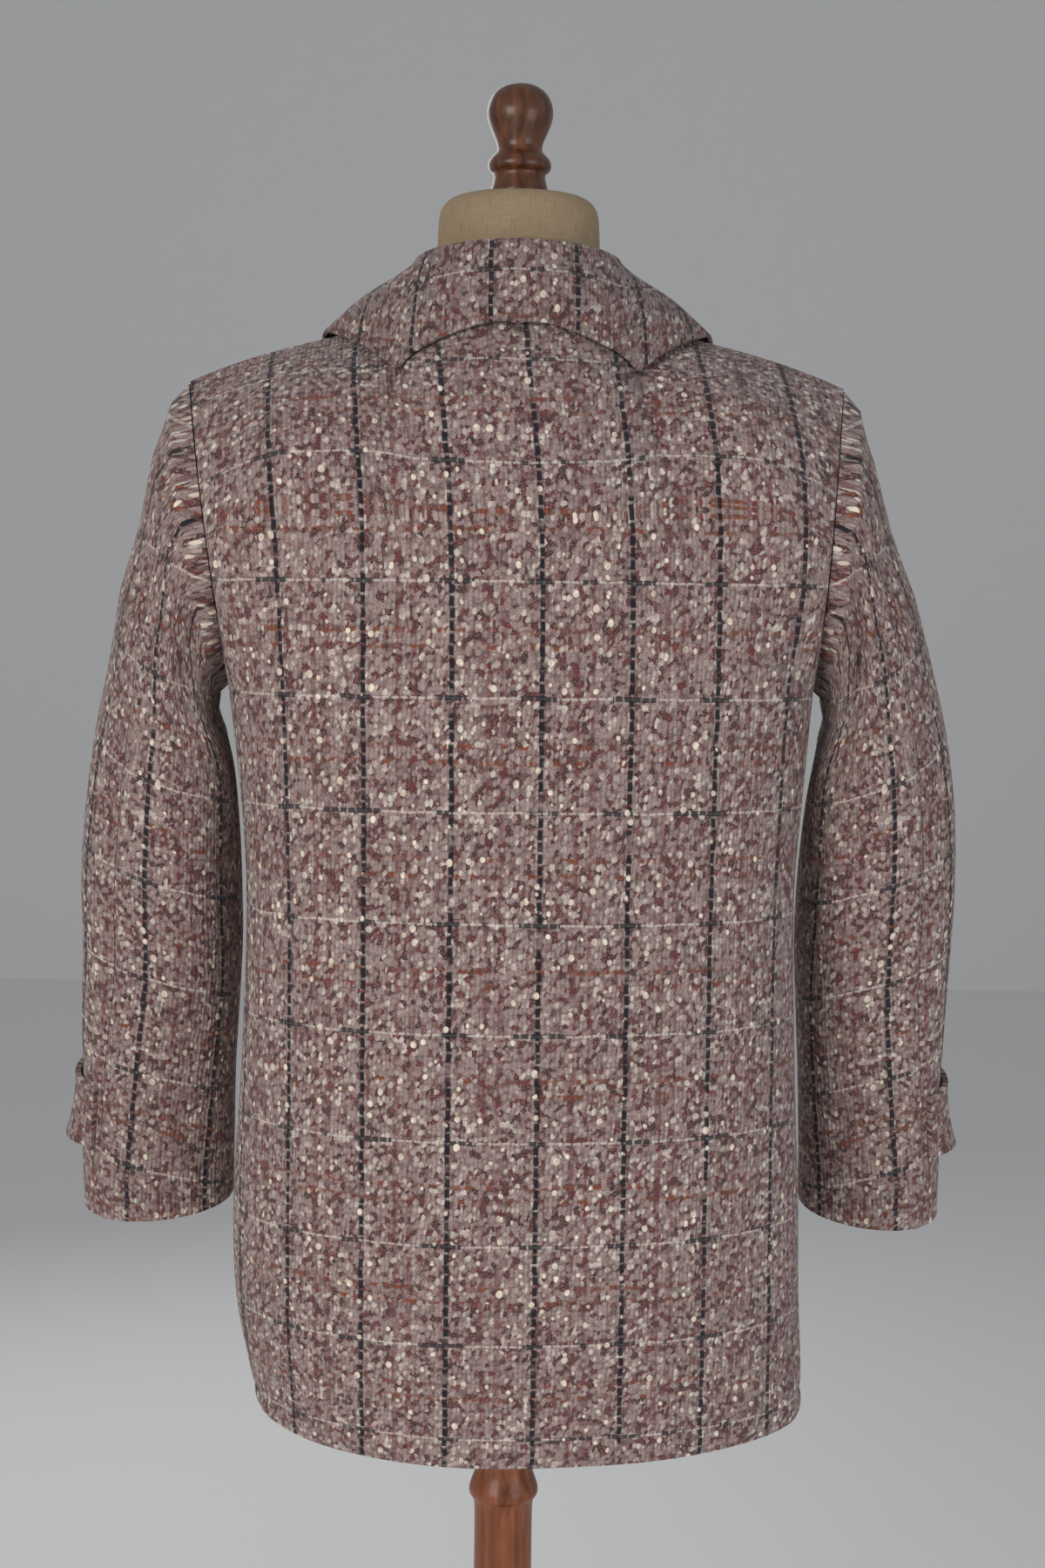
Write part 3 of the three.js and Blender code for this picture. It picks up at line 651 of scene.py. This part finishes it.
# %% [markdown]
# ## Materials
# A small helper adds nodes and links them. The cloth's own map is in metres, so every yarn, slub
# and check line below is given at its real size.

# %% Node helper
class Shade:
    """One material, and short calls that each add a node and give its output."""

    def __init__(self, name):
        self.material = bpy.data.materials.new(name)
        self.material.use_nodes = True
        self.nodes = self.material.node_tree.nodes
        self.links = self.material.node_tree.links
        self.shader = self.nodes["Principled BSDF"]

    def put(self, socket, value):
        if isinstance(value, bpy.types.NodeSocket):
            self.links.new(value, socket)
        else:
            socket.default_value = value

    def math(self, operation, a, b=0.0, c=0.0):
        node = self.nodes.new("ShaderNodeMath")
        node.operation = operation
        for socket, value in zip(node.inputs, (a, b, c)):
            self.put(socket, value)
        return node.outputs[0]

    def times(self, a, b):
        return self.math("MULTIPLY", a, b)

    def over(self, a, b):
        return self.math("DIVIDE", a, b)

    def linear(self, value, gain, start):
        return self.math("MULTIPLY_ADD", value, gain, start)

    def period(self, value, length):
        """How far into its period a length is, from 0 to 1."""
        return self.math("FRACT", self.over(value, length))

    def mix(self, share, a, b, blend="MIX"):
        node = self.nodes.new("ShaderNodeMix")
        node.data_type = "RGBA"
        node.blend_type = blend
        self.put(node.inputs[0], share)
        self.put(node.inputs[6], a)
        self.put(node.inputs[7], b)
        return node.outputs[2]

    def step(self, value, low, high):
        """A soft step from 0 at low to 1 at high. Low may be the greater."""
        node = self.nodes.new("ShaderNodeMapRange")
        node.interpolation_type = "SMOOTHSTEP"
        for socket, given in zip(node.inputs, (value, low, high, 0.0, 1.0)):
            self.put(socket, given)
        return node.outputs[0]

    def vector(self, x, y, z=0.0):
        node = self.nodes.new("ShaderNodeCombineXYZ")
        for socket, value in zip(node.inputs, (x, y, z)):
            self.put(socket, value)
        return node.outputs[0]

    def noise(self, place, scale, detail=2.0):
        node = self.nodes.new("ShaderNodeTexNoise")
        self.put(node.inputs["Vector"], place)
        node.inputs["Scale"].default_value = scale
        node.inputs["Detail"].default_value = detail
        return node.outputs[0]

    def cells(self, place, scale, randomness=1.0):
        node = self.nodes.new("ShaderNodeTexVoronoi")
        self.put(node.inputs["Vector"], place)
        node.inputs["Scale"].default_value = scale
        node.inputs["Randomness"].default_value = randomness
        split = self.nodes.new("ShaderNodeSeparateColor")
        self.links.new(node.outputs["Color"], split.inputs[0])
        return node.outputs["Distance"], split.outputs[0], split.outputs[1], split.outputs[2]

    def ramp(self, value, *stops):
        node = self.nodes.new("ShaderNodeValToRGB")
        self.put(node.inputs[0], value)
        elements = node.color_ramp.elements
        while len(elements) < len(stops):
            elements.new(0.5)
        for element, (place, colour) in zip(elements, stops):
            element.position = place
            element.color = (*colour, 1)
        return node.outputs[0]

    def own_map(self, name):
        node = self.nodes.new("ShaderNodeUVMap")
        node.uv_map = name
        split = self.nodes.new("ShaderNodeSeparateXYZ")
        self.links.new(node.outputs[0], split.inputs[0])
        return split.outputs[0], split.outputs[1]

    def object_place(self):
        node = self.nodes.new("ShaderNodeAttribute")
        node.attribute_name = "rest"
        return node.outputs["Vector"]

    def finish(self, colour, height, depth, **constants):
        bump_node = self.nodes.new("ShaderNodeBump")
        bump_node.inputs["Strength"].default_value = 1.0
        bump_node.inputs["Distance"].default_value = depth
        self.put(bump_node.inputs["Height"], height)
        self.put(self.shader.inputs["Normal"], bump_node.outputs[0])
        self.put(self.shader.inputs["Base Color"], colour)
        for name, value in constants.items():
            self.put(self.shader.inputs[name.replace("_", " ")], value)
        return self.material


# %% [markdown]
# ### Tweed
# Thick uneven yarns in brown, wine, grey and cream make the ground, with painted shade in the
# grooves between them. Dark dashed lines run down every 62 mm. Thin pale lines with black lengths
# run across every 80 mm. Cream slubs lie over everything, and raise the bump.

# %% Tweed
DARK, WINE, PINK = (0.036, 0.018, 0.017), (0.135, 0.026, 0.033), (0.35, 0.265, 0.255)
PLAIN, CREAM, NAVY = (0.31, 0.235, 0.22), (0.70, 0.64, 0.57), (0.008, 0.008, 0.013)
YARN, YARN_STEP = 0.0033, 0.004          # one yarn's width and the length of a stitch
COLUMN, ROW = 0.062, 0.080               # the check's two periods
COLUMN_DASH, ROW_STITCH = 0.0085, 0.0062
SLUB_ACROSS, SLUB_DOWN = 0.0078, 0.0094
RUST, SHADOW = (0.20, 0.06, 0.03), (0.045, 0.028, 0.024)
ROW_PALE = (0.60, 0.55, 0.50)
SLUB_DULL, SLUB_BRIGHT = (0.52, 0.43, 0.35), (0.78, 0.71, 0.59)


def tweed(name, tone=1.0):
    t = Shade(name)
    u0, v0 = t.own_map("cloth")
    sway = t.linear(t.noise(t.vector(u0, v0), 70.0), 0.003, -0.0015)
    sway2 = t.linear(t.noise(t.vector(v0, u0, 3.0), 60.0), 0.003, -0.0015)
    u, v = t.math("ADD", u0, sway), t.math("ADD", v0, sway2)
    place = t.vector(t.over(t.linear(v, 0.12, u), YARN), t.over(v, YARN_STEP))
    distance, pick, pick2, pick3 = t.cells(place, 1.0, 0.8)
    colour = t.ramp(pick, (0.0, DARK), (0.18, WINE), (0.36, PINK), (0.55, PLAIN),
                    (0.78, PINK), (1.0, CREAM))
    fine = t.noise(t.vector(u, v), 1100.0, 3.0)
    colour = t.mix(t.step(fine, 0.5, 0.68), colour, (*PLAIN, 1))
    colour = t.mix(t.times(t.step(fine, 0.52, 0.36), 0.55), colour, (*DARK, 1))

    across = t.over(u, COLUMN)
    down = t.over(v, ROW)
    column = t.math("ABSOLUTE", t.math("SUBTRACT", across, t.math("ROUND", across)))
    row = t.math("ABSOLUTE", t.math("SUBTRACT", down, t.math("ROUND", down)))
    share, fall = t.math("FRACT", across), t.math("FRACT", down)

    for at, strength in ((0.40, 0.50), (0.57, 0.42)):
        stripe = t.step(t.math("ABSOLUTE", t.math("SUBTRACT", share, at)), 0.05, 0.015)
        stripe = t.times(stripe, t.linear(t.step(pick2, 0.25, 0.7), strength, 0.12))
        colour = t.mix(stripe, colour, (*WINE, 1))
    for at in (0.42, 0.56):
        band = t.step(t.math("ABSOLUTE", t.math("SUBTRACT", fall, at)), 0.035, 0.01)
        colour = t.mix(t.times(band, t.step(pick3, 0.45, 0.9)), colour, (*RUST, 1))

    # Painted shade: the gaps between the yarns and the troughs of the rib are darkened.
    rib = t.linear(t.math("SINE", t.times(u, 2 * math.pi / YARN)), 0.5, 0.5)
    gap = t.times(t.step(distance, 0.42, 0.78), 0.5)
    colour = t.mix(gap, colour, (*SHADOW, 1))
    colour = t.mix(t.times(t.step(rib, 0.3, 0.0), 0.25), colour, (*DARK, 1))

    dash = t.step(t.period(v, COLUMN_DASH), 0.12, 0.3)
    along = t.vector(t.times(v, 42.0), t.math("ROUND", across))
    broken = t.step(t.noise(along, 1.0), 0.36, 0.46)
    line = t.times(t.step(column, 0.034, 0.022), t.linear(dash, 0.72, 0.25))
    colour = t.mix(t.times(line, t.linear(broken, 0.6, 0.4)), colour, (*NAVY, 1))
    crossing = t.step(column, 0.30, 0.02)
    black = t.noise(t.vector(t.times(u, 48.0), t.times(t.math("ROUND", down), 7.3)), 1.0)
    black = t.step(t.linear(crossing, 0.20, black), 0.57, 0.61)
    stitch = t.step(t.period(u, ROW_STITCH), 0.10, 0.3)
    pale = t.times(t.step(row, 0.014, 0.007), t.linear(stitch, 0.50, 0.05))
    colour = t.mix(pale, colour, (*ROW_PALE, 1))
    bold = t.times(t.step(row, 0.027, 0.016), black)
    colour = t.mix(t.times(bold, t.linear(stitch, 0.7, 0.2)), colour, (*NAVY, 1))

    slub_place = t.vector(t.over(u, SLUB_ACROSS), t.over(v, SLUB_DOWN))
    lump, which, size, _ = t.cells(slub_place, 1.0, 1.0)
    reach = t.linear(size, 0.16, 0.14)
    edge = t.math("SUBTRACT", lump, reach)
    slub = t.times(t.step(which, 0.66, 0.70), t.step(edge, 0.07, 0.0))
    slub_colour = t.mix(pick3, (*SLUB_DULL, 1), (*SLUB_BRIGHT, 1))
    colour = t.mix(t.times(slub, 0.95), colour, slub_colour)
    colour = t.mix(1.0, colour, (tone, tone * 0.97, tone * 0.95, 1), "MULTIPLY")

    height = t.math("SUBTRACT", 1.0, distance)
    height = t.math("ADD", t.linear(rib, 0.35, height), t.times(slub, 1.3))
    height = t.linear(fine, 0.5, height)
    return t.finish(colour, height, 0.0011, Roughness=0.95, Specular_IOR_Level=0.18,
                    Sheen_Weight=0.12, Sheen_Roughness=0.6)


# The collar and sleeve copies of the tweed are darker than the body's: painted shade on those
# pieces.
tweed_body = tweed("tweed", 1.22)
tweed_collar = tweed("tweed_collar", 1.05)
tweed_sleeve = tweed("tweed_sleeve", 1.18)


# %% [markdown]
# ### Linen, wood and horn
# The linen has crossing threads of uneven thickness. The wood is brown with darker grain that
# runs up the turned parts, under a clear coat. The buttons are dark horn with pale streaks.

# %% Linen, wood and horn
def linen():
    t = Shade("linen")
    place = t.object_place()
    split = t.nodes.new("ShaderNodeSeparateXYZ")
    t.put(split.inputs[0], place)
    x, y, z = split.outputs
    wobble = t.linear(t.noise(place, 90.0), 0.0016, 0.0)
    around = t.times(t.math("ARCTAN2", x, y), 0.07)
    warp = t.math("SINE", t.times(t.math("ADD", around, wobble), 2 * math.pi / 0.0011))
    weft = t.math("SINE", t.times(t.math("ADD", z, wobble), 2 * math.pi / 0.0011))
    weave = t.linear(t.times(warp, weft), 0.5, 0.5)
    stretched = t.vector(t.times(around, 60.0), t.times(z, 900.0))
    threads = t.noise(stretched, 1.0, 3.0)
    tall = t.noise(t.vector(t.times(around, 900.0), t.times(z, 60.0)), 1.0, 3.0)
    colour = t.mix(weave, (0.35, 0.25, 0.15, 1), (0.52, 0.39, 0.25, 1))
    colour = t.mix(t.step(threads, 0.55, 0.8), colour, (0.58, 0.45, 0.30, 1))
    colour = t.mix(t.times(t.step(tall, 0.52, 0.3), 0.5), colour, (0.30, 0.20, 0.12, 1))
    height = t.math("ADD", weave, t.math("ADD", threads, tall))
    return t.finish(colour, height, 0.0005, Roughness=0.9, Specular_IOR_Level=0.2)


def wood(name, dark, light, coat):
    t = Shade(name)
    place = t.object_place()
    split = t.nodes.new("ShaderNodeSeparateXYZ")
    t.put(split.inputs[0], place)
    x, y, z = split.outputs
    bent = t.noise(place, 9.0, 1.0)
    grain = t.vector(t.times(x, 170.0), t.times(y, 170.0),
                     t.linear(bent, 4.0, t.times(z, 9.0)))
    streak = t.noise(grain, 1.0, 5.0)
    pores = t.noise(t.vector(t.times(x, 900.0), t.times(y, 900.0),
                             t.times(z, 60.0)), 1.0, 2.0)
    middle_tone = tuple((a + b) / 2 for a, b in zip(dark, light))
    colour = t.ramp(streak, (0.30, dark), (0.52, middle_tone), (0.72, light))
    pore_tone = tuple(c * 0.3 for c in dark)
    colour = t.mix(t.times(t.step(pores, 0.62, 0.75), 0.5), colour, (*pore_tone, 1))
    roughness = t.linear(streak, 0.2, 0.28)
    return t.finish(colour, t.math("SUBTRACT", streak, pores), 0.00025, Roughness=roughness,
                    Specular_IOR_Level=0.3, Coat_Weight=coat, Coat_Roughness=0.16)


def horn():
    t = Shade("horn")
    place = t.object_place()
    cloud = t.noise(place, 130.0, 4.0)
    colour = t.ramp(cloud, (0.35, (0.018, 0.011, 0.008)), (0.6, (0.055, 0.032, 0.02)),
                    (0.8, (0.19, 0.12, 0.075)))
    return t.finish(colour, cloud, 0.00015, Roughness=0.3, Coat_Weight=0.3, Coat_Roughness=0.1)


linen_cloth = linen()
pole_wood = wood("pole_wood", (0.12, 0.035, 0.013), (0.33, 0.105, 0.042), 0.15)
finial_wood = wood("finial_wood", (0.045, 0.014, 0.006), (0.17, 0.062, 0.026), 0.25)
dark_horn = horn()


# %% [markdown]
# ### Dressing the pieces
# Each piece gets its material, and an attribute "rest" that keeps every point's own place. The
# wood, linen and horn patterns are laid out in it.

# %% Dress the pieces
def dress(piece, material):
    """Gives the piece one material, and the attribute that its pattern is laid out in."""
    piece.data.materials.clear()
    piece.data.materials.append(material)
    if "rest" not in piece.data.attributes:
        rest = piece.data.attributes.new("rest", "FLOAT_VECTOR", "POINT")
        for vertex in piece.data.vertices:
            rest.data[vertex.index].vector = vertex.co


for piece in (back, left, right):
    dress(piece, tweed_body)
dress(collar, tweed_collar)
for piece in sleeve_pieces + tabs:
    dress(piece, tweed_sleeve)
dress(torso, linen_cloth)
dress(finial, finial_wood)
for piece in (pole, base):
    dress(piece, pole_wood)
for piece in buttons:
    dress(piece, dark_horn)

# %% [markdown]
# ## What each piece stands for
# Every piece rides on the one body and takes the place of its solid, which is hidden.

# %% Attach the pieces
NAMES = {"tweed_back": "back", "tweed_front_left": "front_left", "tweed_front_right": "front_right",
         "tweed_collar": "collar"}
for part in ("sleeve_upper", "sleeve_under", "cuff_tab"):
    for hand in ("left", "right"):
        NAMES["tweed_%s_%s" % (part, hand)] = "%s_%s" % (part, hand)
for name, node in NAMES.items():
    piece, flat, area = made[name]
    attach(piece, "root")
    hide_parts(node)
solids = [(torso, "form_torso", "linen"), (finial, "finial", "wood"), (pole, "pole", "wood"),
          (base, "base", "wood")]
solids += [(button, "front_button_%d" % i, "buttons") for i, button in enumerate(buttons, 1)]
for piece, node, slot in solids:
    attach(piece, "root")
    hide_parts(node)

# %% [markdown]
# ## Floor, backdrop and light
# A plain pale floor meets a plain pale wall. A large soft light stands behind the coat on the
# left of the view, a weaker one on the right, and a dim one lights the coat's front.

# %% Stage
bpy.ops.mesh.primitive_plane_add(size=24, location=(0, 0, 0))
floor = bpy.context.object
floor.name = "floor"
ground = Shade("floor")
ground.put(ground.shader.inputs["Base Color"], (0.80, 0.79, 0.77, 1))
ground.put(ground.shader.inputs["Roughness"], 0.9)
floor.data.materials.append(ground.material)
bpy.ops.mesh.primitive_plane_add(size=24, location=(0, -6, 0), rotation=(math.pi / 2, 0, 0))
wall = bpy.context.object
wall.name = "backdrop"
wall.data.materials.append(ground.material)

world = bpy.data.worlds.new("room")
scene.world = world
world.use_nodes = True
sky = world.node_tree.nodes
backdrop = sky["Background"]
backdrop.inputs[0].default_value = (0.80, 0.80, 0.79, 1)
backdrop.inputs[1].default_value = 1.0
room = sky.new("ShaderNodeBackground")
room.inputs[0].default_value = (0.80, 0.84, 0.90, 1)
room.inputs[1].default_value = 0.42
rays, either = sky.new("ShaderNodeLightPath"), sky.new("ShaderNodeMixShader")
join = world.node_tree.links.new
join(rays.outputs["Is Camera Ray"], either.inputs[0])
join(room.outputs[0], either.inputs[1])
join(backdrop.outputs[0], either.inputs[2])
join(either.outputs[0], sky["World Output"].inputs[0])


def lamp(name, place, target, size, watts, colour):
    data = bpy.data.lights.new(name, "AREA")
    data.size = size
    data.energy = watts
    data.color = colour
    light = bpy.data.objects.new(name, data)
    scene.collection.objects.link(light)
    light.location = place
    light.rotation_euler = (Vector(target) - Vector(place)).to_track_quat("-Z", "Y").to_euler()


lamp("high_left", (1.5, 2.3, 1.5), (0, 0, 0.9), 1.3, 38, (1.0, 0.97, 0.93))
lamp("right", (-1.9, 2.0, 1.1), (0, 0, 0.9), 1.5, 20, (0.95, 0.97, 1.0))
lamp("front", (0.8, -2.2, 2.0), (0, 0, 1.2), 1.6, 16, (1.0, 1.0, 1.0))

scene.view_settings.view_transform = "Standard"

# %% [markdown]
# ## Finish
# The scene is brought up to date.

# %% Finish
bpy.context.view_layer.update()
